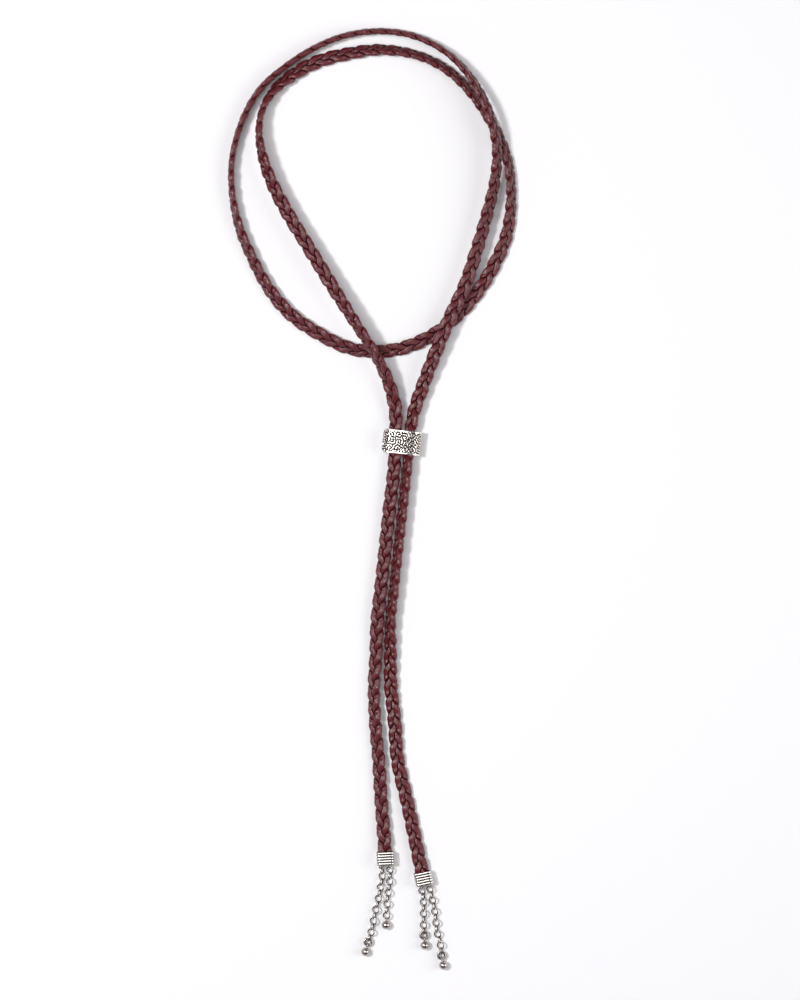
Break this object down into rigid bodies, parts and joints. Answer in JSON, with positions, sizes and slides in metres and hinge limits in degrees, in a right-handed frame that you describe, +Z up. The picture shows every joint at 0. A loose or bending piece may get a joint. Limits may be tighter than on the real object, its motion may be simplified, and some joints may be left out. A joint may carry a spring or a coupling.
{
  "type": "bolo tie",
  "caption": "Bolo tie of a flat three-strand leather plait wound twice round the neck, with a patterned barrel slide, ribbed tips and fine chains ending in ball drops.",
  "frame": {"origin": "middle of the slide's flat back, in the plane that the tie lies on", "axes": "+X to the right, +Y from the slide towards the neck loop, +Z up from the surface it lies on"},
  "size_m": [0.1229, 0.3958, 0.0125],
  "materials": {
    "leather": "soft burgundy leather, fine grain, low sheen",
    "silver": "antique silver plate, bright on high places and dark in the recesses"
  },
  "bodies": {
    "tie": {"strand_a": "leather", "strand_b": "leather", "strand_c": "leather", "tip_left": "silver", "tip_right": "silver", "chain_left_long": "silver", "chain_left_short": "silver", "chain_right_short": "silver", "chain_right_long": "silver", "jump_ring_left_long": "silver", "jump_ring_right_short": "silver", "jump_ring_right_long": "silver", "ball_drop_left_long": "silver", "ball_drop_left_short": "silver", "ball_drop_right_short": "silver", "ball_drop_right_long": "silver"},
    "slide": {"slide": "silver"}
  },
  "joints": [
    {"name": "slide_travel", "type": "slide", "parent": "tie", "child": "slide", "axis": [-0.108, -0.9942, 0], "range_m": [0, 0.05]}
  ]
}
